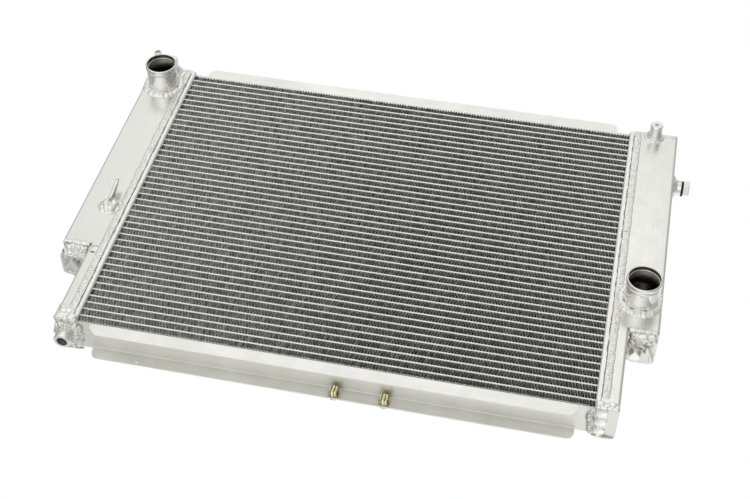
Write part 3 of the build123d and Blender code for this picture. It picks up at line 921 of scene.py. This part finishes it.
for side, _ in SIDES:
    x, y, z = front_centre("cowl_boss_" + side)
    foot = (x - 0.0006, FRONT_Y, z + 0.0010)
    lathe("cowl_flare_" + side, foot, TO_FRONT, COWL_FLARE, "weld", "tank_sheet", n=72)
    ring_weld("cowl_weld_" + side, foot, TO_FRONT, radius=0.0100, lean=0.80, width=0.0064,
              height=0.0022, pitch=7.4, lumps=0.16, ripple=0.10, seed=5, mat="weld_white")
    thread("cowl_thread_" + side, (x, y, z), TO_REAR, start=0.3, stop=13.0, root=2.5,
           depth=0.32, pitch=1.0, mat="machined", inner=True, n=32)

BLEED_X, _, BLEED_Z = front_centre("bleed_boss")
ring_weld("bleed_weld", (BLEED_X, FRONT_Y, BLEED_Z), TO_FRONT, radius=0.0064, lean=0.9,
          width=0.0056, height=0.0030, pitch=3.4, lumps=0.35, ripple=0.3, seed=6)

SENSOR_Z = front_centre("sensor_bung")[2]
SENSOR_FOOT = (SHELL_X, 0, SENSOR_Z)
lathe("sensor_flare", SENSOR_FOOT, TO_RIGHT, SENSOR_FLARE, "weld", "tank_sheet", n=72)
ring_weld("sensor_weld", SENSOR_FOOT, TO_RIGHT, radius=0.0124, lean=0.80, width=0.0080,
          height=0.0026, pitch=6.4, lumps=0.22, ripple=0.16, seed=7)
ring_weld("drain_weld", (DRAIN_X, DRAIN_Y, -0.2222), DOWN, radius=0.0118, lean=0.9,
          width=0.0088, height=0.0040, pitch=5.0, lumps=0.30, ripple=0.25, seed=8)

# ---------------------------------------------------------------- hook on the left tank
POOL_Y = FRONT_Y - 0.00002   # front pools start just proud of the face
pool("hook_pool", (-0.3265, POOL_Y, -0.0575), FRONT_FACE, (31.0, 29.0),
     [(15.5, 14.2, 13.4, 2.6), (16.5, 12.6, 9.4, 6.6), (18.6, 10.0, 6.6, 7.2),
      (13.4, 15.0, 7.4, 6.4), (9.0, 13.5, 7.0, 4.4), (20.5, 17.0, 6.0, 5.8),
      (4.6, 13.0, 4.4, 1.8), (25.6, 20.5, 4.4, 2.4), (25.0, 11.0, 4.8, 2.6),
      (15.5, 22.5, 5.4, 4.4), (10.0, 6.5, 5.4, 2.4)],
     seed=12, border=1.0, rough=0.30)
straight_bead("hook_edge", (-0.3115, -0.03415, -0.0385), (-0.3115, -0.03805, -0.0105),
              (0, -1, -0.13), width=0.0034, height=0.00045, pitch=9.0, ripple=0.05,
              lumps=0.10, seed=13, across=7)
# painted shade: a dark bead right of the tongue's foot stands for the shade beside the tongue,
# built in the shape of a weld
straight_bead("hook_side_shade_bead", (-0.3085, FRONT_Y + 0.0002, -0.0360),
              (-0.3085, FRONT_Y + 0.0002, -0.0200), (0.6, -0.8, 0), points=20, width=0.0050,
              height=0.0020, pitch=4.0, ripple=0.4, lumps=0.3, mat="weld_dull", seed=14)

# ---------------------------------------------------------------- end plates and steps
HEAP_Z = -0.22195   # start of the heaps under the tanks
ROPE_Z = -0.2216    # line of the beads under the tanks


def plate_welds(side, sign):
    """Beads along the top plate, the step plate and the bottom edge of one tank."""
    inner_x, outer_x = sign * (FOOT_X + 0.001), sign * (SHELL_X - 0.001)
    corner_x = sign * (FOOT_X + 0.0006)
    front_y, rear_y = FRONT_Y + 0.0002, 0.0248
    step_z = STEP_Z + 0.0006
    step_shape = dict(width=0.0052, height=0.0016, pitch=3.2, ripple=0.35, lumps=0.30)
    straight_bead("top_cap_weld_" + side, (sign * 0.289, FRONT_Y + 0.001, TOP - 0.0016),
                  (sign * (SHELL_X - 0.002), FRONT_Y + 0.001, TOP - 0.0036), (0, -0.8, 0.6),
                  width=0.0040, height=0.0011, pitch=3.0, ripple=0.4, lumps=0.3,
                  seed=20 + sign)
    straight_bead("step_weld_front_" + side, (inner_x, front_y, step_z),
                  (outer_x, front_y, step_z), (0, -0.75, -0.66), seed=23 + sign, **step_shape)
    straight_bead("step_weld_rear_" + side, (inner_x, rear_y, step_z),
                  (outer_x, rear_y, step_z), (0, 0.75, -0.66), seed=25 + sign, **step_shape)
    straight_bead("step_weld_inner_" + side, (corner_x, -0.023, STEP_Z - 0.0002),
                  (corner_x, 0.023, STEP_Z - 0.0002), (sign * 0.7, 0, -0.7),
                  width=0.0062, height=0.0022, pitch=3.6, ripple=0.40, lumps=0.35,
                  seed=27 + sign)
    straight_bead("foot_weld_" + side, (sign * 0.3155, -0.0186, STEP_Z - 0.0022),
                  (sign * (SHELL_X - 0.003), -0.0186, STEP_Z - 0.0022), (0, -0.60, -0.80),
                  width=0.0100, height=0.0032, pitch=6.0, ripple=0.34, lumps=0.30, sink=0.6,
                  mat="weld_white", seed=29 + sign, skew=0.9, grit=0.05)
    straight_bead("bottom_weld_rear_" + side, (sign * 0.2875, 0.0247, ROPE_Z),
                  (sign * 0.3105, 0.0247, ROPE_Z), (0, 0.7, -0.7), points=24,
                  width=0.0056, height=0.0020, pitch=4.0, ripple=0.4, lumps=0.35,
                  seed=33 + sign)


for side, sign in SIDES:
    plate_welds(side, sign)

# ---------------------------------------------------------------- foot pads
PAD_RIGHT_Z = STEP_Z - 0.0040         # underside of the right foot pad
PAD_LEFT_Z = PAD_RIGHT_Z - 0.0040     # the left one stands off by another 4 mm
PAD_LEFT_X = -0.3462                  # outer side of the left pad

pool("foot_pool_left", (PAD_LEFT_X, -0.0122, PAD_LEFT_Z), UNDERSIDE, (31.0, 20.0),
     [(5.0, 4.5, 4.6, 2.8), (11.5, 3.6, 4.4, 3.0), (18.5, 4.0, 4.6, 3.2), (25.5, 4.4, 4.8, 3.0),
      (29.5, 10.0, 4.6, 3.4), (24.0, 10.5, 4.0, 2.6), (8.0, 10.0, 4.4, 1.8),
      (15.0, 9.6, 3.6, 1.6), (28.5, 16.5, 4.4, 3.4), (3.5, 12.0, 3.2, 1.4),
      (21.5, 16.0, 3.2, 2.0)],
     mat="weld_dull", seed=14, rough=0.55, border=0.9)
pool("foot_pool_left_b", (PAD_LEFT_X, 0.0050, PAD_LEFT_Z), UNDERSIDE, (31.0, 18.5),
     [(5.0, 12.0, 4.2, 2.2), (12.0, 16.5, 4.2, 2.4), (20.5, 16.0, 4.2, 2.6),
      (28.0, 14.5, 4.8, 3.2), (29.0, 6.0, 4.4, 3.0), (3.6, 5.0, 3.0, 1.2)],
     mat="weld_dull", seed=15, rough=0.50, border=0.9)

# filler between the step plate and the lowered left pad: (drop below the step, y, height)
FOOT_STACK = [(0.0030, -0.0160, 0.0034), (0.0056, -0.0125, 0.0030)]
for k, (drop, y, height) in enumerate(FOOT_STACK):
    straight_bead("foot_stack_%d" % (k + 1), (-0.3165, y, STEP_Z - drop),
                  (-0.3440, y + 0.0006, STEP_Z - drop), (0, -0.75, -0.66), points=34,
                  jitter=0.0007, jitter_seed=60 + k, width=0.0088, height=height,
                  pitch=6.2 + k, ripple=0.30, lumps=0.35, sink=0.8, mat="weld_white",
                  seed=61 + k, skew=0.8, grit=0.05)
straight_bead("foot_stack_side", (PAD_LEFT_X, -0.0120, PAD_RIGHT_Z),
              (PAD_LEFT_X, 0.0200, PAD_RIGHT_Z), (-1, 0, -0.35), points=34, jitter=0.0006,
              jitter_seed=66, width=0.0080, height=0.0024, pitch=5.6, ripple=0.35, lumps=0.45,
              sink=0.8, mat="weld_dull", seed=66, grit=0.10)

pool("foot_pool_right", (0.3150, -0.0168, PAD_RIGHT_Z), UNDERSIDE, (27.0, 17.0),
     [(3.6, 8.0, 4.0, 3.0), (8.0, 4.0, 4.2, 2.4), (14.5, 3.8, 4.2, 2.6), (20.0, 4.2, 4.2, 2.6),
      (23.5, 9.6, 3.4, 1.8), (3.2, 14.0, 3.6, 3.2), (13.5, 9.0, 3.0, 1.4)],
     mat="weld_dull", seed=16, rough=0.50, border=0.9)
ring_weld("peg_weld_right", (0.3225, 0.0, PAD_RIGHT_Z), DOWN, radius=0.0084, lean=0.9,
          width=0.0076, height=0.0036, pitch=4.6, lumps=0.50, ripple=0.40, seed=17,
          mat="weld_dull")

# ---------------------------------------------------------------- right tank foot
# puddles on the front edge, three big scallops and a rope of filler underneath
pool("bottom_front_pool_right", (0.2872, POOL_Y, -0.2238), FRONT_FACE, (24.6, 11.0),
     [(4.2, 6.0, 4.9, 2.1), (17.0, 7.2, 5.0, 2.1), (10.6, 4.0, 4.6, 1.2), (22.0, 4.2, 3.6, 1.2),
      (2.5, 1.6, 3.2, 1.4), (14.5, 1.4, 4.4, 1.3), (20.0, 1.2, 4.2, 1.2)],
     seed=3, border=1.2)
pool("bottom_scallops_right", (0.2868, -0.0262, HEAP_Z), UNDERSIDE, (14.6, 51.0),
     [(7.0, 10.5, 8.2, 3.0), (7.6, 25.5, 8.4, 3.1), (7.2, 40.0, 8.2, 3.0),
      (12.0, 18.0, 3.2, 0.9), (12.0, 33.0, 3.0, 0.9), (8.5, 48.6, 4.4, 1.4),
      (7.5, 2.8, 4.6, 1.6)],
     seed=5, border=1.0, ripple=0.035)
straight_bead("web_rope_right", (0.2822, -0.0150, ROPE_Z), (0.2856, 0.0226, ROPE_Z),
              (-0.35, 0, -1), points=40, jitter=0.0008, jitter_seed=3, width=0.0086,
              height=0.0040, pitch=4.6, ripple=0.62, lumps=0.40, sink=0.8, mat="weld_dull",
              seed=31, skew=1.5, grit=0.16)
pool("web_lumps_right", (0.2780, -0.0215, -0.22085), UNDERSIDE, (12.0, 43.0),
     [(6.5, 5.0, 3.4, 1.9), (9.0, 10.5, 3.2, 2.2), (9.5, 17.0, 3.0, 2.0), (10.0, 24.0, 3.2, 2.4),
      (9.8, 31.0, 3.2, 2.2), (9.6, 38.5, 3.2, 2.0), (3.6, 12.0, 2.6, 0.9),
      (4.0, 27.0, 2.8, 0.8), (6.0, 39.0, 3.2, 1.4)],
     mat="weld_dull", seed=6, rough=0.45, border=0.9)

# ---------------------------------------------------------------- left tank foot
# the drain boss sits in a heap of filler
pool("bottom_front_pool_left", (-0.3124, POOL_Y, -0.2242), FRONT_FACE, (26.0, 22.0),
     [(6.6, 4.6, 6.4, 2.8), (19.6, 4.6, 6.0, 2.9), (12.6, 5.4, 5.6, 1.8), (7.0, 11.5, 5.0, 1.5),
      (12.0, 13.0, 5.0, 0.9), (3.0, 9.0, 3.6, 1.0), (23.6, 2.4, 3.6, 1.4),
      (5.5, 17.0, 3.0, 0.6)],
     seed=8, border=1.2)
pool("bottom_heap_left", (-0.3122, -0.0262, HEAP_Z), UNDERSIDE, (27.0, 52.0),
     [(5.0, 4.0, 5.5, 3.2), (13.0, 4.5, 6.0, 3.0), (21.5, 5.0, 6.0, 4.0), (22.0, 14.0, 6.4, 6.0),
      (23.0, 24.0, 6.0, 6.6), (20.0, 33.0, 7.0, 6.2), (22.5, 42.0, 5.6, 4.0),
      (13.0, 39.0, 6.6, 4.6), (5.0, 38.0, 5.6, 3.0), (14.0, 47.0, 5.0, 2.4),
      (3.8, 14.0, 4.4, 1.6), (3.4, 26.0, 4.4, 1.6), (24.5, 33.0, 3.6, 5.2),
      (16.5, 10.5, 4.2, 4.4)],
     mat="weld_dull", seed=9, rough=0.50, border=0.9, ripple=0.06)
straight_bead("web_rope_left", (-0.2842, -0.0160, ROPE_Z), (-0.2862, 0.0200, ROPE_Z),
              (0.35, 0, -1), points=40, jitter=0.001, jitter_seed=7, width=0.0080,
              height=0.0034, pitch=5.4, ripple=0.55, lumps=0.50, sink=0.8, mat="weld_dull",
              seed=35, skew=1.3, grit=0.20)
# painted shade: the drain's inner thread is in the dark cup material, for the shade inside the
# bore
thread("drain_thread", (DRAIN_X, DRAIN_Y, -0.239), UP, start=1.2, stop=19.0, root=6.2,
       depth=0.55, pitch=1.5, mat="cup", inner=True, n=56)


# ---------------------------------------------------------------- left corner lug
def corner_lug():
    """Raised dome under a fine arc, with a slot below it drawn as a low bead in dark painted
    shade.
    """
    lug_x, lug_z = -0.3043, -0.1144
    arc_radius = 0.0050
    slot_y, slot_z = FRONT_Y + 0.0001, lug_z - 0.0053
    dome = [(0, 0.01), (-0.5, 0.01), (-0.5, 4.6), (0.05, 4.6), (0.55, 3.9), (0.95, 2.9),
            (1.2, 1.6), (1.25, 0.01)]
    lathe("corner_lug", (lug_x, FRONT_Y + 0.0004, lug_z), TO_FRONT, dome, "weld_white",
          "tank_sheet", n=48, closed=False)
    arc = [(lug_x + arc_radius * math.cos(math.radians(a)), FRONT_Y + 0.0002,
            lug_z + arc_radius * math.sin(math.radians(a))) for a in range(24, 157, 6)]
    bead("corner_lug_arc", arc, [TO_FRONT] * len(arc), width=0.0010, height=0.0004, pitch=3.0,
         ripple=0.1, lumps=0.2, sink=0.3, mat="seam", seed=22, across=7)
    # painted shade: the slot is a low bead in the dark cup material
    straight_bead("corner_slot", (lug_x - 0.0038, slot_y, slot_z),
                  (lug_x + 0.0024, slot_y, slot_z), TO_FRONT, points=24, width=0.0026,
                  height=0.0005, pitch=2.0, ripple=0.2, lumps=0.3, sink=0.2, mat="cup",
                  seed=21, across=7)


corner_lug()

# ---------------------------------------------------------------- screws with real threads
# Profiles: (distance behind the outer end of the head, radius) in mm
BOLT_COLLAR = [(5.2, 0.01), (5.2, 4.9), (5.62, 5.1), (5.75, 5.75), (6.1, 6.0), (6.7, 6.0),
               (6.7, 0.01)]
BOLT_CORE = [(6.4, 0.01), (6.4, 2.98), (6.9, 2.98), (7.2, 2.45), (14.9, 2.45), (15.25, 2.1),
             (15.25, 0.01)]
PLUG_NECK = [(6.6, 0.01), (6.6, 9.0), (7.0, 9.0), (7.0, 6.45), (8.6, 6.45), (8.9, 5.5),
             (18.2, 5.5), (18.9, 4.9), (18.9, 3.6), (14.0, 3.6), (14.0, 0.01)]
BLEED_NOSE = [(7.4, 0.01), (7.4, 1.34), (10.2, 1.34), (10.6, 0.9), (10.6, 0.01)]


def flange_bolt(side):
    body = "flange_bolt_" + side
    end = front_centre(body)
    zinc = dict(mat="zinc", slot="zinc_yellow", body=body)
    head = hex_head("bolt_head_" + side, end, TO_FRONT, length=5.6, flats=10.0, flat_dir=DOWN,
                    **zinc)
    lathe("bolt_collar_" + side, end, TO_REAR, BOLT_COLLAR, n=64, closed=False, **zinc)
    lathe("bolt_core_" + side, end, TO_REAR, BOLT_CORE, n=40, closed=False, **zinc)
    thread("bolt_thread_" + side, end, TO_REAR, start=7.0, stop=15.2, root=2.42, depth=0.56,
           pitch=1.0, n=40, per_turn=10, wall=0.4, **zinc)
    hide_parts(body)


def sensor_plug():
    end = (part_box("sensor_plug")[1].x, 0, SENSOR_Z)
    turned = dict(mat="machined", slot="machined", body="sensor_plug")
    head = hex_head("plug_head", end, TO_RIGHT, length=7.0, flats=19.0, flat_dir=TO_FRONT,
                    dish=1.2, dish_radius=5.6, **turned)
    lathe("plug_neck", end, TO_LEFT, PLUG_NECK, n=56, closed=False, **turned)
    thread("plug_thread", end, TO_LEFT, start=8.4, stop=18.8, root=5.5, depth=0.95, pitch=1.5,
           n=56, per_turn=10, **turned)
    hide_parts("sensor_plug")


def bleed_screw():
    """Headless screw with a hexagon socket in its front end and a thin nose."""
    n = 48
    end = (BLEED_X, front_centre("bleed_screw")[1], BLEED_Z)
    turned = dict(mat="machined", slot="machined", body="bleed_screw")
    thread("bleed_thread", end, TO_REAR, start=0.5, stop=7.9, root=2.5, depth=0.48, pitch=1.0,
           n=40, per_turn=10, wall=0.3, **turned)
    socket = [hex_radius(2 * math.pi * k / n, 1.5) for k in range(n)]
    rows = [(8.0, [2.2] * n), (7.7, [2.5] * n), (0.35, [2.5] * n), (0.0, [2.25] * n),
            (0.0, [radius + 0.22 for radius in socket]), (0.25, socket), (2.4, socket),
            (2.9, [0.3] * n)]
    axes = (Vector(TO_REAR), Vector(TO_RIGHT), Vector(UP))
    screw = ring_body("bleed_body", end, axes, rows, smooth=False, closed=False, caps=True,
                      **turned)
    lathe("bleed_nose", end, TO_REAR, BLEED_NOSE, n=32, closed=False, **turned)
    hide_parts("bleed_screw")


for side, _ in SIDES:
    flange_bolt(side)
sensor_plug()
bleed_screw()

# ---------------------------------------------------------------- stage, light, camera
# Soft patches of light in the world: (direction, tightness, strength)
LOBES = [((-0.15, -0.72, 0.68), 3.0, 0.62),   # over the front faces
         ((-0.15, -0.72, -0.68), 4.0, 0.95),  # big soft box on the camera side
         ((0.25, 0.66, -0.70), 6.0, 0.75),    # low behind, to the right
         ((0.2, 0.95, 0.3), 1.5, 0.45)]       # broad, from behind
AMBIENT = 0.34


def studio_world():
    """Lobes over an even grey; the camera itself sees white."""
    world = bpy.data.worlds.new("studio")
    bpy.context.scene.world = world
    world.use_nodes = True
    g = Graph(world.node_tree)
    output = g.node("OutputWorld")
    background = g.node("Background")
    position = g.position("Generated")
    total = None
    for direction, tightness, strength in LOBES:
        facing = g.math("MAXIMUM", g.dot(position, Vector(direction).normalized()), 0.0)
        light = g.math("MULTIPLY", g.math("POWER", facing, tightness), strength)
        total = light if total is None else g.math("ADD", total, light)
    glow = g.math("ADD", total, AMBIENT)
    path = g.node("LightPath")
    colour = g.mix(path.outputs["Is Camera Ray"], glow, (1, 1, 1))
    g.feed(background.inputs[0], colour)
    g.feed(output.inputs[0], background.outputs[0])


def area_light(name, location, width, height, energy):
    """Rectangular light, hidden from the camera, that looks at the origin."""
    light = bpy.data.lights.new(name, "AREA")
    light.shape = "RECTANGLE"
    light.size, light.size_y = width, height
    light.energy = energy
    ob = add_object(name, light)
    ob.location = location
    ob.rotation_mode = "QUATERNION"
    ob.rotation_quaternion = (-Vector(location)).to_track_quat("-Z", "Y")
    ob.visible_camera = False


def white_floor():
    """White sheet just behind the radiator; clear from the back and seen only by the camera."""
    half, y = 4, 0.0262
    me = bpy.data.meshes.new("floor")
    me.from_pydata([(-half, y, -half), (half, y, -half), (half, y, half), (-half, y, half)],
                   [], [(0, 1, 2, 3)])
    floor = add_object("floor", me)
    material = bpy.data.materials.new("floor_white")
    material.use_nodes = True
    g = Graph(material.node_tree)
    output = g.node("OutputMaterial")
    white = g.node("Emission")
    g.feed(white.inputs["Color"], (1, 1, 1))
    g.feed(white.inputs["Strength"], 1.0)
    clear = g.node("BsdfTransparent")
    geometry = g.node("NewGeometry")
    mix = g.node("MixShader")
    g.feed(mix.inputs[0], geometry.outputs["Backfacing"])
    g.feed(mix.inputs[1], white.outputs[0])
    g.feed(mix.inputs[2], clear.outputs[0])
    g.feed(output.inputs[0], mix.outputs[0])
    me.materials.append(material)
    floor.visible_diffuse = floor.visible_glossy = False
    floor.visible_transmission = floor.visible_shadow = False


def add_camera():
    """Camera in front of and below the radiator, looking back and up."""
    camera = bpy.data.cameras.new("camera")
    ob = add_object("camera", camera)
    camera.lens = 65.12
    camera.sensor_width = 36.0
    camera.sensor_fit = "HORIZONTAL"
    camera.clip_start, camera.clip_end = 0.05, 50
    right = Vector((0.97767655, 0.00209225, 0.21010518))
    up = Vector((-0.1499884, -0.69332718, 0.70484105))
    ahead = Vector((-0.14714633, 0.7206199, 0.67753591))
    matrix = Matrix((right, up, -ahead)).transposed().to_4x4()
    matrix.translation = Vector((0.24528, -1.15736, -1.11259))
    ob.matrix_world = matrix
    bpy.context.scene.camera = ob


studio_world()
area_light("soft_top", (-0.2, -1.5, 1.1), width=1.3, height=1.0, energy=1.2)
area_light("soft_side", (-1.5, -0.7, -0.5), width=0.5, height=1.0, energy=1.2)
area_light("soft_back", (0.4, 1.6, 0.8), width=1.4, height=1.4, energy=3.0)
white_floor()
add_camera()
view = bpy.context.scene.view_settings
view.view_transform = "Standard"
view.look = "None"
view.exposure = 0.0
